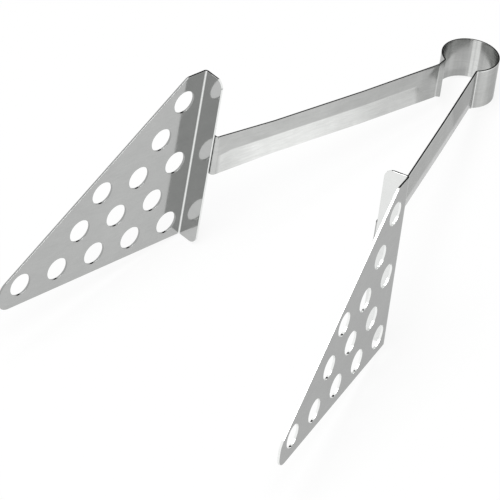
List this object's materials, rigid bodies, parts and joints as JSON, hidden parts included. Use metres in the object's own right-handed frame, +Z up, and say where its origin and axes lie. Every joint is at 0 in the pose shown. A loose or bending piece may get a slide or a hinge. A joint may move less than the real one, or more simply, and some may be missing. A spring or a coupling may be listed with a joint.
{
  "type": "sandwich tongs",
  "caption": "Stainless steel sandwich tongs: a strip bent into a spring loop and creased arms, with perforated triangular blades at their ends for gripping and serving.",
  "frame": {"origin": "on the table, below the middle of the overall box, on the middle plane between the jaws", "axes": "+X towards the right jaw, +Y from the blades' tips to the spring loop, +Z up; the tongs stand as pictured, resting on the loop and on the lower back corners of the blades"},
  "size_m": [0.153, 0.2592, 0.087],
  "materials": {
    "strip_steel": "satin, brushed along the strip",
    "blade_steel": "matte satin"
  },
  "bodies": {
    "spring": {"loop_crown": "strip_steel"},
    "left_jaw": {"left_arm": "strip_steel", "left_blade": "blade_steel", "left_weld_upper": "strip_steel", "left_weld_lower": "strip_steel"},
    "right_jaw": {"right_arm": "strip_steel", "right_blade": "blade_steel", "right_weld_upper": "strip_steel", "right_weld_lower": "strip_steel"}
  },
  "joints": [
    {"name": "left_jaw_flex", "type": "hinge", "parent": "spring", "child": "left_jaw", "pos_m": [-0.00853, 0.12562, 0.01011], "axis": [0, 0.2474, 0.9689], "range_deg": [0, 15.9], "stiffness_Nm_per_rad": 5.2},
    {"name": "right_jaw_flex", "type": "hinge", "parent": "spring", "child": "right_jaw", "pos_m": [0.00233, 0.12562, 0.01011], "axis": [0, -0.2474, -0.9689], "range_deg": [0, 15.9], "stiffness_Nm_per_rad": 5.2}
  ],
  "couplings": [
    {"joint": "right_jaw_flex", "follows": "left_jaw_flex", "ratio": 1}
  ]
}
